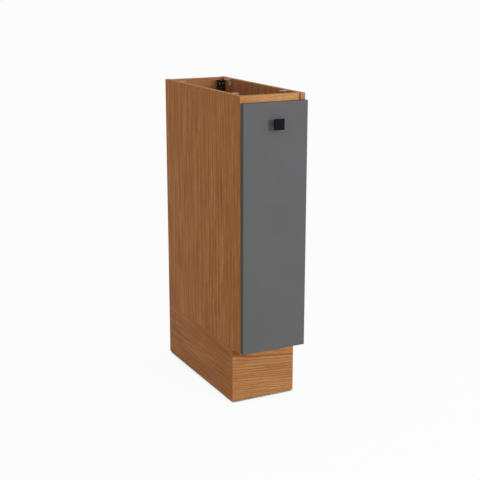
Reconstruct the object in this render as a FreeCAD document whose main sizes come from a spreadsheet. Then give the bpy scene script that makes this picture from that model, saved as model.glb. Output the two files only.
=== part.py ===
import FreeCAD, Part
import math
import os
import re
import Sketcher
from FreeCAD import Placement, Rotation, Vector

# A narrow kitchen base unit whose front pulls out with a spice rack behind it.
# Frame: floor at z = 0, width along x, the front faces -y, the wall side is +y.

doc = FreeCAD.newDocument("spice_pull_out")

# Driving dimensions in millimetres, with what each one is

SIZES = (
    ("cabinet_width", 200, "outside width over the side panels"),
    ("side_depth", 510, "front to rear of a side panel"),
    ("side_height", 726, "height of a side panel, on top of the plinth"),
    ("board", 15, "thickness of the laminated boards"),
    ("band_radius", 0.8, "rounding of a board's banded edges"),
    ("plinth_height", 162, "height of the plinth boards"),
    ("plinth_setback", 48, "plinth front behind the side panels' front edges"),
    ("glide_height", 4, "floor glide under the plinth boards"),
    ("glide_radius", 7.4, "floor glide"),
    ("glide_sole_radius", 6.2, "floor glide where it meets the floor"),
    ("glide_front_gap", 24, "front end of a plinth side board to a glide's centre"),
    ("glide_rear_gap", 43, "rear end of a plinth side board to a glide's centre"),
    ("glide_nail_radius", 1.2, "nail moulded into a floor glide"),
    ("glide_nail_length", 16, "nail moulded into a floor glide"),
    ("front_rail_height", 60, "rail across the top at the front"),
    ("front_rail_recess", 5, "front rail behind the side panels' front edges"),
    ("back_rail_height", 80, "rail across the top at the rear"),
    ("back_inset", 8, "back panel in front of the side panels' rear edges"),
    ("back_thickness", 3, "back panel"),
    ("groove_depth", 6, "groove in a side panel for the back panel"),
    ("groove_play", 0.3, "clearance of the back panel in its grooves"),
    ("door_gap", 2.5, "carcass front edge to the back of the door front"),
    ("door_thickness", 15, "door front"),
    ("door_side_reveal", 1.5, "side panel's outer face to the door front's edge"),
    ("door_top_gap", 18, "carcass top to the door front's top edge"),
    ("door_bottom_gap", 4, "carcass underside to the door front's lower edge"),
    ("door_edge_radius", 1, "rounding of the door front's front edges"),
    ("bumper_radius", 4, "soft bumper on the door front's back"),
    ("bumper_face_radius", 3.6, "soft bumper where it meets the side panel"),
    ("bumper_end_gap", 40, "door front's upper or lower edge to a bumper"),
    ("bumper_play", 0.2, "bumper to the side panel that it meets"),
    ("knob_side", 30, "square head of the knob"),
    ("knob_head", 5, "thickness of the knob's head"),
    ("knob_projection", 21.5, "door front's face to the knob's face"),
    ("knob_neck", 10, "side of the knob's neck under its head"),
    ("knob_foot", 12, "side of the knob's neck on the door front"),
    ("knob_edge_radius", 1.2, "rounding of the knob's head"),
    ("knob_drop", 58, "door front's top edge to the knob's centre"),
    ("knob_thread_radius", 2, "screw that holds the knob"),
    ("knob_thread_depth", 12, "screw's length inside the knob"),
    ("knob_screw_head_radius", 4, "head of the knob's screw"),
    ("knob_screw_head", 2.6, "height of that head"),
    ("counterbore_depth", 3.4, "recess in the door front's back for that head"),
    ("counterbore_play", 1, "clearance round that head"),
    ("bracket_leg", 20, "leg of an angle bracket"),
    ("bracket_width", 14, "width of an angle bracket"),
    ("bracket_wall", 2.6, "wall of an angle bracket"),
    ("bracket_end_gap", 78, "side panel's end to a worktop bracket's centre"),
    ("bracket_hole_radius", 2.25, "screw hole in an angle bracket"),
    ("bracket_hole_gap", 12, "corner of an angle bracket to its holes"),
    ("bracket_root_radius", 2, "inner corner of an angle bracket"),
    ("bracket_corner_radius", 3, "free corners of an angle bracket's legs"),
    ("plinth_bracket_gap", 130, "end of a plinth side board to a plinth bracket's centre"),
    ("hanger_width", 23, "wall hanger's housing"),
    ("hanger_depth", 14, "wall hanger's housing"),
    ("hanger_height", 42, "wall hanger's housing"),
    ("hanger_wall", 2, "wall of the hanger's housing"),
    ("hanger_edge_radius", 1.6, "rounding of the hanger's housing"),
    ("hanger_drop", 7, "carcass top to the hanger's housing"),
    ("hanger_recess", 4, "depth of the sunk panel in the housing's front"),
    ("hanger_recess_height", 19, "sunk panel, without the slope below it"),
    ("hanger_screw_drop", 11, "housing's top to its adjusting screws"),
    ("hanger_screw_spacing", 12, "between the two adjusting screws"),
    ("hanger_screw_radius", 2.5, "adjusting screw's thread"),
    ("hanger_screw_length", 9, "adjusting screw's thread"),
    ("hanger_screw_head_radius", 3.6, "adjusting screw's head"),
    ("hanger_screw_head", 1.2, "adjusting screw's head"),
    ("hook_drop", 26, "housing's top to the hook's shank"),
    ("hook_plate", 3, "thickness of the hook"),
    ("hook_shank", 10, "height of the hook's shank"),
    ("hook_gap", 2.6, "back panel to the hook's lip, for the wall rail"),
    ("hook_lip", 3, "thickness of the hook's lip"),
    ("hook_reach", 13, "hook's lip below its shank"),
    ("hook_play", 0.3, "clearance round the hook's shank"),
    ("hook_travel", 3, "hook's adjustment up or down"),
    ("slide_rear_gap", 46, "telescopic slide's rear end to the back panel"),
    ("slide_height", 45, "telescopic slide"),
    ("slide_thickness", 12.7, "telescopic slide, from side panel to rack"),
    ("slide_sheet", 1.2, "steel of the slide's members"),
    ("slide_setback", 3, "slide behind the side panels' front edges"),
    ("slide_flange", 10.2, "flange of the cabinet member"),
    ("slide_lip", 1.6, "turned-in edge of the cabinet member"),
    ("slide_bend_radius", 2.2, "outside of the bends in the slide's members"),
    ("slot_length", 12, "adjusting slot in a slide's member, between its round ends"),
    ("slot_width", 4.6, "adjusting slot in a slide's member"),
    ("slot_gap", 30, "slide's screw to the adjusting slot beside it"),
    ("slide_running_gap", 0.7, "middle member's flange to the rack member's web"),
    ("big_ball_radius", 1.95, "balls between cabinet and middle members"),
    ("small_ball_radius", 1.55, "balls between middle and rack members"),
    ("ball_play", 0.15, "clearance between a ball and its track"),
    ("cage_sheet", 0.4, "ball cage"),
    ("cage_gap", 0.4, "clearance on each side of a ball cage's web"),
    ("cage_margin", 1, "edge of a ball cage beyond its balls"),
    ("cage_length", 200, "ball cage"),
    ("cage_hole_play", 0.1, "clearance of a ball in its cage"),
    ("buffer_length", 8, "end buffer of a slide"),
    ("buffer_gap", 0.5, "end buffer to the members that it stops"),
    ("buffer_edge_radius", 0.9, "rounding of an end buffer"),
    ("lever_length", 58, "release lever"),
    ("lever_height", 7, "release lever at its pivot"),
    ("lever_tip", 4, "release lever at its tip"),
    ("lever_thickness", 2.4, "release lever"),
    ("lever_tab", 2, "finger tab that stands out from the lever's tip"),
    ("lever_tab_length", 8, "finger tab along the lever"),
    ("lever_edge_radius", 1.4, "rounding of the release lever at its pivot"),
    ("lever_gap", 0.3, "release lever to the rack member's web"),
    ("lever_end_gap", 14.75, "release lever's tip to the middle of the rack member"),
    ("pivot_radius", 1.5, "rivet that the release lever turns on"),
    ("pivot_play", 0.08, "clearance of the lever on its rivet"),
    ("rack_floor_gap", 8, "bottom panel to the rack's underside"),
    ("rack_head_gap", 45, "front rail's lower edge to the rack's top"),
    ("rack_side_height", 110, "side boards of the rack's lowest tray"),
    ("guard_radius", 3, "guard bar"),
    ("guard_inset", 8, "rack's side to a guard bar's centre"),
    ("guard_low", 26, "shelf to its lower guard bar"),
    ("guard_high", 56, "shelf to its upper guard bar"),
    ("guard_seat", 8, "guard bar's end in its bore"),
    ("dowel_radius", 4, "wooden dowel"),
    ("dowel_in_face", 10, "dowel's length in the face of a board"),
    ("dowel_in_end", 20, "dowel's length in the end of a board"),
    ("cam_radius", 7.5, "cam lock"),
    ("cam_depth", 12, "cam lock"),
    ("cam_reach", 24, "end of a board to its cam lock's centre"),
    ("cam_slot", 1.6, "driving slot across a cam lock"),
    ("cam_slot_length", 10.5, "driving slot across a cam lock"),
    ("bolt_radius", 3, "cam bolt"),
    ("bolt_in_face", 11, "cam bolt's length in the side panel"),
    ("joint_end_gap", 60, "end of the bottom panel to its cam locks"),
    ("joint_pitch", 32, "cam bolt to the dowel beside it"),
    ("rail_dowel_gap", 14, "edge of a rail to its dowel"),
    ("front_rail_cam_gap", 38, "upper edge of the front rail to its cam bolts"),
    ("back_rail_cam_gap", 63, "upper edge of the back rail to its cam bolts"),
    ("plinth_dowel_gap", 40, "edge of a plinth board to its dowels"),
    ("screw_radius", 1.75, "small wood screw's shank"),
    ("screw_length", 12, "small wood screw's shank"),
    ("screw_head_radius", 3.4, "small wood screw's head"),
    ("screw_head", 2, "height of a small wood screw's head"),
    ("slide_screw_gap", 37, "end of a slide's member to its outer screws"),
    ("rack_screw_radius", 2.5, "long screw that joins the rack's boards"),
    ("rack_screw_length", 48, "long screw, from its seat to its tip"),
    ("rack_screw_head_radius", 4.5, "head of a long screw"),
    ("rack_screw_head", 3, "depth of a long screw's sunk head"),
    ("rack_screw_inset", 36.3, "rack's side to a long screw in a shelf"),
    ("rack_side_screw_rise", 75, "rack's underside to the screws in its side boards"),
    ("door_screw_radius", 2, "screw that holds the door front on the rack"),
    ("door_screw_bite", 11, "that screw's length inside the door front"),
    ("door_screw_inset", 9.3, "tray's side board to that screw"),
    ("door_screw_rise", 90, "shelf's underside to the door screws above it"),
    ("fit_play", 0.05, "clearance of a fastener in its bore"),
)

LEVELS = ("bottom", "middle", "top")
SIDES = (("left", -1), ("right", 1))
BALLS_IN_ROW = 4
HEAD_TAPER = 0.8  # top of a raised screw head against its foot
SAME = 0.01  # places closer than this are one place

sheet = doc.addObject("Spreadsheet::Sheet", "Sizes")
for row, (alias, number, meaning) in enumerate(SIZES, 1):
    sheet.set(f"A{row}", meaning)
    sheet.set(f"B{row}", str(number))
    sheet.setAlias(f"B{row}", alias)
doc.recompute()

# Planes and lines that several pieces share, worked out from the driving dimensions

PLACES = (
    ("outer_x", "cabinet_width / 2"),
    ("inner_x", "outer_x - board"),
    ("front_y", "(door_gap + door_thickness + knob_projection - side_depth) / 2"),
    ("rear_y", "front_y + side_depth"),
    ("base_z", "glide_height + plinth_height"),
    ("floor_z", "base_z + board"),
    ("top_z", "base_z + side_height"),
    ("back_rear_y", "rear_y - back_inset"),
    ("back_front_y", "back_rear_y - back_thickness"),
    ("back_rail_y", "back_front_y - board"),
    ("back_rail_z", "top_z - back_rail_height"),
    ("front_rail_y", "front_y + front_rail_recess"),
    ("front_rail_z", "top_z - front_rail_height"),
    ("plinth_y", "front_y + plinth_setback"),
    ("plinth_side_y", "plinth_y + board"),
    ("door_back_y", "front_y - door_gap"),
    ("door_front_y", "door_back_y - door_thickness"),
    ("door_x", "outer_x - door_side_reveal"),
    ("door_low_z", "base_z + door_bottom_gap"),
    ("door_high_z", "top_z - door_top_gap"),
    ("knob_z", "door_high_z - knob_drop"),
    ("hanger_x", "inner_x - hanger_width / 2"),
    ("hanger_y", "back_rail_y - hanger_depth"),
    ("hanger_top_z", "top_z - hanger_drop"),
    ("hanger_seat_y", "hanger_y + hanger_recess"),
    ("hanger_hollow_y", "hanger_seat_y + hanger_wall"),
    ("hook_z", "hanger_top_z - hook_drop"),
    ("slide_y", "front_y + slide_setback"),
    ("slide_length", "back_front_y - slide_rear_gap - slide_y"),
    ("member_length", "slide_length - buffer_length - buffer_gap"),
    ("rack_x", "inner_x - slide_thickness"),
    ("rack_inner_front_y", "door_back_y + board"),
    ("rack_rear_y", "slide_y + slide_length"),
    ("rack_inner_rear_y", "rack_rear_y - board"),
    ("rack_low_z", "floor_z + rack_floor_gap"),
    ("rack_high_z", "front_rail_z - rack_head_gap"),
    ("level_pitch", f"(rack_high_z - rack_low_z) / {len(LEVELS)}"),
    ("slide_z", "rack_low_z + rack_side_height / 2"),
    ("outer_half", "slide_height / 2"),
    ("middle_half", "outer_half - slide_sheet - 2 * (big_ball_radius + ball_play)"),
    ("inner_half", "middle_half - slide_sheet - 2 * (small_ball_radius + ball_play)"),
    ("big_ball_z", "middle_half + big_ball_radius + ball_play"),
    ("small_ball_z", "inner_half + small_ball_radius + ball_play"),
    ("outer_cage_inset", "slide_sheet + cage_gap"),
    ("middle_inset", "outer_cage_inset + cage_sheet + cage_gap"),
    ("middle_web_inset", "middle_inset + slide_sheet"),
    ("inner_cage_inset", "middle_web_inset + cage_gap"),
    ("inner_flange_inset", "inner_cage_inset + cage_sheet + cage_gap"),
    ("inner_web_inset", "slide_thickness - slide_sheet"),
    ("big_ball_inset", "slide_flange / 2"),
    ("small_ball_inset", "(inner_flange_inset + inner_web_inset) / 2"),
    ("cage_y", "slide_y + (member_length - cage_length) / 2"),
    ("ball_pitch", f"cage_length / {BALLS_IN_ROW}"),
    ("lever_y", "slide_y + member_length / 2 - lever_end_gap - lever_length + lever_height / 2"),
)

places = doc.addObject("App::VarSet", "Places")
SIZE_NAMES = {alias for alias, number, meaning in SIZES}
PLACE_NAMES = {name for name, text in PLACES}


def formula(text):
    """Say where each named value in a formula is kept."""
    def owner(found):
        name = found.group()
        if name in SIZE_NAMES:
            return f"Sizes.{name}"
        return f"Places.{name}" if name in PLACE_NAMES else name
    return re.sub(r"[a-z][a-z_]+", owner, text)


for place_name, place_text in PLACES:
    places.addProperty("App::PropertyFloat", place_name, "Places")
    places.setExpression(place_name, formula(place_text))
doc.recompute()


def value(name):
    """The number of a driving dimension or of a shared place."""
    return float(getattr(sheet if name in SIZE_NAMES else places, name))


# Building blocks

TURNS = {
    "+x": Rotation(Vector(0, 1, 0), 90),
    "-x": Rotation(Vector(0, 1, 0), -90),
    "+y": Rotation(Vector(1, 0, 0), -90),
    "-y": Rotation(Vector(1, 0, 0), 90),
    "+z": Rotation(),
    "-z": Rotation(Vector(1, 0, 0), 180),
}

pieces = {}
cutters = {}


def bind(thing, **texts):
    for name, text in texts.items():
        thing.setExpression(name, formula(text))


def put(thing, spot, turn="+z"):
    """Place a thing at three formulas, with its own z axis along a direction."""
    thing.Placement = Placement(Vector(), TURNS[turn])
    for axis, text in zip("xyz", spot):
        thing.setExpression(f"Placement.Base.{axis}", formula(text))
    return thing


def block(name, x, y, z):
    """A box given by its lowest and highest plane on each axis."""
    box = doc.addObject("Part::Box", name)
    for side, (low, high) in zip(("Length", "Width", "Height"), (x, y, z)):
        bind(box, **{side: f"({high}) - ({low})"})
    return put(box, (x[0], y[0], z[0]))


def rod(name, spot, turn, length, radius):
    cylinder = doc.addObject("Part::Cylinder", name)
    bind(cylinder, Height=length, Radius=radius)
    return put(cylinder, spot, turn)


def taper(name, spot, turn, length, near_radius, far_radius):
    cone = doc.addObject("Part::Cone", name)
    bind(cone, Height=length, Radius1=near_radius, Radius2=far_radius)
    return put(cone, spot, turn)


def fuse(name, members):
    joined = doc.addObject("Part::MultiFuse", name)
    joined.Shapes = members
    return joined


def group(name, members):
    together = doc.addObject("Part::Compound", name)
    together.Links = members
    pieces[name] = together
    return together


def drill(tool, *names):
    """Note a cutting shape for the pieces that it passes through."""
    for name in names:
        cutters.setdefault(name, []).append(tool)


def across(sign, near, far):
    """The span between two distances from the middle plane, on one side."""
    return (near, far) if sign > 0 else (f"-({far})", f"-({near})")


def outward(sign):
    return "+x" if sign > 0 else "-x"


def inward(sign):
    return outward(-sign)


def outline(body, plane, corners):
    """A closed sketch of straight runs, with every corner held by two formulas."""
    sketch = body.newObject("Sketcher::SketchObject", "Outline")
    support = [feature for feature in body.Origin.OriginFeatures if feature.Role == plane]
    sketch.AttachmentSupport = [(support[0], "")]
    sketch.MapMode = "FlatFace"
    count = len(corners)
    turn = 2 * math.pi / count
    start = [Vector(math.cos(turn * k), math.sin(turn * k), 0) for k in range(count)]
    for k in range(count):
        sketch.addGeometry(Part.LineSegment(start[k], start[(k + 1) % count]), False)
    for k in range(count):
        sketch.addConstraint(Sketcher.Constraint("Coincident", k, 2, (k + 1) % count, 1))
    for k, (across_text, up_text) in enumerate(corners):
        for kind, place, text in (("DistanceX", start[k].x, across_text),
                                  ("DistanceY", start[k].y, up_text)):
            number = sketch.addConstraint(Sketcher.Constraint(kind, -1, 1, k, 1, place))
            sketch.setExpression(f"Constraints[{number}]", formula(text))
    return sketch


def square(half):
    return ((f"-({half})", f"-({half})"), (half, f"-({half})"), (half, half), (f"-({half})", half))


def pad(body, sketch, length, backwards=False):
    feature = body.newObject("PartDesign::Pad", "Pad")
    feature.Profile = sketch
    feature.Reversed = backwards
    bind(feature, Length=length)
    doc.recompute()
    return feature


def round_edges(body, feature, radius, wanted):
    """Fillet the edges whose box passes a test."""
    fillet = body.newObject("PartDesign::Fillet", "Fillet")
    names = [f"Edge{k}" for k, edge in enumerate(feature.Shape.Edges, 1) if wanted(edge.BoundBox)]
    fillet.Base = (feature, names)
    bind(fillet, Radius=radius)
    doc.recompute()
    return fillet


def near(first, second):
    return abs(first - second) < SAME


def banded(name, x, y, z, wanted):
    """A board given by its planes, as a block is, with its banded edges rounded."""
    body = doc.addObject("PartDesign::Body", name)
    corners = ((x[0], y[0]), (x[1], y[0]), (x[1], y[1]), (x[0], y[1]))
    plain = pad(body, outline(body, "XY_Plane", corners), f"({z[1]}) - ({z[0]})")
    round_edges(body, plain, "band_radius", wanted)
    return put(body, ("0", "0", z[0]))


def screw(name, seat, turn, head_radius, head, radius, length, through, sunk=False):
    """A screw whose head stands on its seat, or is sunk below it, and the bores for it."""
    back = {"+": "-", "-": "+"}[turn[0]] + turn[1]
    shank = rod(f"{name} shank", seat, turn, length, radius)
    bore = rod(f"{name} bore", seat, turn, f"{length} + fit_play", f"{radius} + fit_play")
    drill(bore, *through)
    if not sunk:
        cap = taper(f"{name} head", seat, back, head, head_radius, f"{head_radius} * {HEAD_TAPER}")
        return fuse(name, [shank, cap])
    cap = taper(f"{name} head", seat, turn, head, head_radius, radius)
    sink = taper(f"{name} sink", seat, turn, head, f"{head_radius} + fit_play", f"{radius} + fit_play")
    drill(sink, *through)
    return fuse(name, [shank, cap])


# Carcass boards

def carcass():
    whole_y = ("front_y", "rear_y")
    between = ("-inner_x", "inner_x")
    pieces["bottom_panel"] = banded("bottom_panel", between, ("front_y", "back_front_y"),
                                    ("base_z", "floor_z"),
                                    lambda box: near(box.YMax, value("front_y")) and near(box.ZLength, 0))
    pieces["front_top_rail"] = block("front_top_rail", between,
                                     ("front_rail_y", "front_rail_y + board"),
                                     ("front_rail_z", "top_z"))
    pieces["back_top_rail"] = block("back_top_rail", between, ("back_rail_y", "back_front_y"),
                                    ("back_rail_z", "top_z"))
    back_edge = "inner_x + groove_depth - groove_play"
    pieces["back_panel"] = block("back_panel", (f"-({back_edge})", back_edge),
                                 ("back_front_y", "back_rear_y"), ("base_z", "top_z"))
    for side, sign in SIDES:
        name = f"side_panel_{side}"
        pieces[name] = banded(name, across(sign, "inner_x", "outer_x"), whole_y, ("base_z", "top_z"),
                              lambda box: near(box.YMax, value("front_y")) and near(box.XLength, 0))
        drill(block(f"groove_{side}", across(sign, "inner_x", "inner_x + groove_depth"),
                    ("back_front_y - groove_play", "back_rear_y"), ("base_z", "top_z")), name)


def plinth():
    height = ("glide_height", "base_z")
    pieces["plinth_front"] = block("plinth_front", ("-outer_x", "outer_x"),
                                   ("plinth_y", "plinth_side_y"), height)
    pieces["plinth_back"] = block("plinth_back", ("-inner_x", "inner_x"),
                                  ("back_rail_y", "back_front_y"), height)
    glides = []
    for side, sign in SIDES:
        name = f"plinth_side_{side}"
        pieces[name] = block(name, across(sign, "inner_x", "outer_x"),
                             ("plinth_side_y", "rear_y"), height)
        for end, y in (("front", "plinth_side_y + glide_front_gap"), ("rear", "rear_y - glide_rear_gap")):
            x = f"{sign} * (outer_x - board / 2)"
            foot = taper(f"glide foot {side} {end}", (x, y, "0"), "+z", "glide_height",
                         "glide_sole_radius", "glide_radius")
            nail = rod(f"glide nail {side} {end}", (x, y, "glide_height / 2"), "+z",
                       "glide_height / 2 + glide_nail_length", "glide_nail_radius")
            drill(rod(f"glide bore {side} {end}", (x, y, "glide_height"), "+z",
                      "glide_nail_length + fit_play", "glide_nail_radius + fit_play"), name)
            glides.append(fuse(f"glide {side} {end}", [foot, nail]))
    group("floor_glides", glides)


# Hidden joints of the boards: cam locks with their bolts, and wooden dowels

def dowel(name, spot, turn, face_board, end_board):
    """A dowel that starts inside a board's face and runs on into another board's end."""
    back = {"+": "-", "-": "+"}[turn[0]] + turn[1]
    halves = []
    for way, length, board_name in ((turn, "dowel_in_end", end_board), (back, "dowel_in_face", face_board)):
        halves.append(rod(f"{name} in {board_name}", spot, way, length, "dowel_radius"))
        drill(rod(f"{name} bore in {board_name}", spot, way, f"{length} + fit_play",
                  "dowel_radius + fit_play"), board_name)
    return fuse(name, halves)


def cam_joint(name, sign, y, z, cam_turn, cam_face, side_panel, end_board):
    """A bolt in a side panel, and the cam lock in the other board that pulls on it."""
    end = f"{sign} * inner_x"
    middle = f"{sign} * (inner_x - cam_reach)"
    spot = (end, y, z)
    in_face = rod(f"{name} bolt in face", spot, outward(sign), "bolt_in_face", "bolt_radius")
    in_end = rod(f"{name} bolt in end", spot, inward(sign), "cam_reach", "bolt_radius")
    drill(rod(f"{name} face bore", spot, outward(sign), "bolt_in_face + fit_play",
              "bolt_radius + fit_play"), side_panel)
    channel = rod(f"{name} end bore", spot, inward(sign), "cam_reach + fit_play",
                  "bolt_radius + fit_play")
    drill(channel, end_board)
    seat = (middle, y, cam_face) if cam_turn[1] == "z" else (middle, cam_face, z)
    lock = rod(f"{name} lock blank", seat, cam_turn, "cam_depth", "cam_radius")
    drill(rod(f"{name} lock bore", seat, cam_turn, "cam_depth + fit_play", "cam_radius + fit_play"),
          end_board)
    slot_x = (f"{middle} - cam_slot_length / 2", f"{middle} + cam_slot_length / 2")
    if cam_turn[1] == "z":
        slot = block(f"{name} slot", slot_x, (f"{y} - cam_slot / 2", f"{y} + cam_slot / 2"),
                     (cam_face, f"{cam_face} + cam_slot"))
    else:
        low, high = (cam_face, f"{cam_face} + cam_slot")
        if cam_turn[0] == "-":
            low, high = (f"{cam_face} - cam_slot", cam_face)
        slot = block(f"{name} slot", slot_x, (low, high), (f"{z} - cam_slot / 2", f"{z} + cam_slot / 2"))
    opened = doc.addObject("Part::Cut", f"{name} lock")
    opened.Base = lock
    opened.Tool = fuse(f"{name} lock cuts", [channel, slot])
    return opened, fuse(f"{name} bolt", [in_face, in_end])


def hidden_joints():
    locks, bolts, dowels = [], [], []
    for side, sign in SIDES:
        panel = f"side_panel_{side}"
        for end, y, step in (("front", "front_y + joint_end_gap", "+"),
                             ("rear", "back_front_y - joint_end_gap", "-")):
            z = "base_z + board / 2"
            lock, bolt = cam_joint(f"bottom {side} {end}", sign, y, z, "+z", "base_z",
                                   panel, "bottom_panel")
            locks.append(lock)
            bolts.append(bolt)
            dowels.append(dowel(f"bottom dowel {side} {end}",
                                (f"{sign} * inner_x", f"{y} {step} joint_pitch", z),
                                inward(sign), panel, "bottom_panel"))
        for rail, y, turn, face in (
                ("front", "front_rail_y + board / 2", "-y", "front_rail_y + board"),
                ("back", "back_rail_y + board / 2", "+y", "back_rail_y")):
            lock, bolt = cam_joint(f"{rail} rail {side}", sign, y, f"top_z - {rail}_rail_cam_gap", turn, face,
                                   panel, f"{rail}_top_rail")
            locks.append(lock)
            bolts.append(bolt)
            dowels.append(dowel(f"{rail} rail dowel {side}",
                                (f"{sign} * inner_x", y, "top_z - rail_dowel_gap"),
                                inward(sign), panel, f"{rail}_top_rail"))
        for edge, z in (("upper", "base_z - plinth_dowel_gap"), ("lower", "glide_height + plinth_dowel_gap")):
            dowels.append(dowel(f"plinth front dowel {side} {edge}",
                                (f"{sign} * (outer_x - board / 2)", "plinth_side_y", z), "+y",
                                "plinth_front", f"plinth_side_{side}"))
            dowels.append(dowel(f"plinth back dowel {side} {edge}",
                                (f"{sign} * inner_x", "back_rail_y + board / 2", z), inward(sign),
                                f"plinth_side_{side}", "plinth_back"))
    group("cam_locks", locks)
    group("cam_bolts", bolts)
    group("wooden_dowels", dowels)


# Angle brackets under the worktop and inside the plinth

def angle_bracket(name, sign, y, top):
    """One leg on a side board, and the other level with the given height."""
    body = doc.addObject("PartDesign::Body", name)
    leg, wall = f"{-sign} * bracket_leg", f"{-sign} * bracket_wall"
    sketch = outline(body, "XZ_Plane", (
        ("0", "0"), ("0", "-bracket_leg"), (wall, "-bracket_leg"),
        (wall, "-bracket_wall"), (leg, "-bracket_wall"), (leg, "0")))
    legs = pad(body, sketch, "bracket_width", True)
    inner, tip = -sign * value("bracket_wall"), -sign * value("bracket_leg")
    rooted = round_edges(body, legs, "bracket_root_radius",
                         lambda box: near(box.XMin, inner) and near(box.ZMin, -value("bracket_wall"))
                         and near(box.XLength, 0) and not near(box.YLength, 0))
    round_edges(body, rooted, "bracket_corner_radius",
                lambda box: near(box.YLength, 0) and near(box.DiagonalLength, value("bracket_wall"))
                and (near(box.ZMax, -value("bracket_leg")) or near(box.XMin, tip)))
    put(body, (f"{sign} * inner_x", f"{y} - bracket_width / 2", top))
    hole = f"{sign} * (inner_x - bracket_hole_gap)"
    upright = rod(f"{name} upright hole", (hole, y, f"{top} - bracket_leg"), "+z", "bracket_leg * 2",
                  "bracket_hole_radius")
    level = rod(f"{name} level hole", (f"{sign} * inner_x", y, f"{top} - bracket_hole_gap"),
                inward(sign), "bracket_leg", "bracket_hole_radius")
    drilled = doc.addObject("Part::Cut", f"{name} drilled")
    drilled.Base = body
    drilled.Tool = fuse(f"{name} holes", [upright, level])
    return drilled


def bracket_screw(name, seat, turn, board_name):
    return screw(name, seat, turn, "screw_head_radius", "screw_head", "screw_radius",
                 "screw_length", (board_name,))


def brackets():
    screws, plinth_brackets = [], []
    for side, sign in SIDES:
        wall_x = f"{sign} * (inner_x - bracket_wall)"
        for end, y in (("front", "front_y + bracket_end_gap"), ("rear", "rear_y - bracket_end_gap")):
            name = f"worktop_bracket_{end}_{side}"
            pieces[name] = angle_bracket(f"{name} legs", sign, y, "top_z")
            screws.append(bracket_screw(f"{name} screw", (wall_x, y, "top_z - bracket_hole_gap"),
                                        outward(sign), f"side_panel_{side}"))
        for end, y in (("front", "plinth_side_y + plinth_bracket_gap"),
                       ("rear", "rear_y - plinth_bracket_gap")):
            name = f"plinth bracket {end} {side}"
            plinth_brackets.append(angle_bracket(name, sign, y, "base_z"))
            screws.append(bracket_screw(f"{name} side screw", (wall_x, y, "base_z - bracket_hole_gap"),
                                        outward(sign), f"plinth_side_{side}"))
            screws.append(bracket_screw(f"{name} up screw",
                                        (f"{sign} * (inner_x - bracket_hole_gap)", y,
                                         "base_z - bracket_wall"), "+z", "bottom_panel"))
    group("plinth_brackets", plinth_brackets)
    return screws


# Wall hangers in the two upper rear corners

def hanger_housing(side, sign):
    body = doc.addObject("PartDesign::Body", f"hanger shell {side}")
    near_x, far_x = "0", f"{-sign} * hanger_width"
    sketch = outline(body, "XZ_Plane", ((near_x, "0"), (far_x, "0"),
                                        (far_x, "-hanger_height"), (near_x, "-hanger_height")))
    shell = pad(body, sketch, "hanger_depth", True)
    free_x = -sign * value("hanger_width")
    round_edges(body, shell, "hanger_edge_radius",
                        lambda box: near(box.YMax, 0) and (
                            not near(box.XLength, 0) or near(box.XMin, free_x)))
    hollow = outline(body, "XZ_Plane", (
        (f"{-sign} * hanger_wall", "-hanger_wall"),
        (f"{-sign} * (hanger_width - hanger_wall)", "-hanger_wall"),
        (f"{-sign} * (hanger_width - hanger_wall)", "hanger_wall - hanger_height"),
        (f"{-sign} * hanger_wall", "hanger_wall - hanger_height")))
    bind(hollow, **{"AttachmentOffset.Base.z": "hanger_y - hanger_hollow_y"})
    pocket = body.newObject("PartDesign::Pocket", "Hollow")
    pocket.Profile = hollow
    bind(pocket, Length="hanger_depth")
    sunk = doc.addObject("PartDesign::Body", f"hanger sunk panel {side}")
    lower = "-hanger_wall - hanger_recess_height"
    pad(sunk, outline(sunk, "YZ_Plane", (
        ("0", "-hanger_wall"), ("hanger_recess", "-hanger_wall"), ("hanger_recess", lower),
        ("0", f"{lower} - hanger_recess"))), "hanger_width - 2 * hanger_wall")
    put(sunk, (f"{sign} * hanger_x - hanger_width / 2 + hanger_wall", "hanger_y", "hanger_top_z"))
    drill(sunk, f"hanger_housing_{side}")
    return put(body, (f"{sign} * inner_x", "hanger_y", "hanger_top_z"))


def hanger_hook(side, sign):
    body = doc.addObject("PartDesign::Body", f"hanger_hook_{side}")
    half = "hook_shank / 2"
    lip_y, lip_end_y = "back_rear_y + hook_gap", "back_rear_y + hook_gap + hook_lip"
    start_y = "hanger_hollow_y + hook_play"
    sketch = outline(body, "YZ_Plane", (
        (start_y, f"-({half})"), (lip_y, f"-({half})"), (lip_y, f"-({half}) - hook_reach"),
        (lip_end_y, f"-({half}) - hook_reach"), (lip_end_y, half), (start_y, half)))
    pad(body, sketch, "hook_plate")
    put(body, (f"{sign} * hanger_x - hook_plate / 2", "0", "hook_z"))
    slot = block(f"hook slot {side}",
                 (f"{sign} * hanger_x - hook_plate / 2 - hook_play",
                  f"{sign} * hanger_x + hook_plate / 2 + hook_play"),
                 ("back_rail_y", "back_rear_y"),
                 (f"hook_z - ({half}) - hook_travel - hook_play",
                  f"hook_z + {half} + hook_travel + hook_play"))
    drill(slot, "back_top_rail", "back_panel")
    return body


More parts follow.
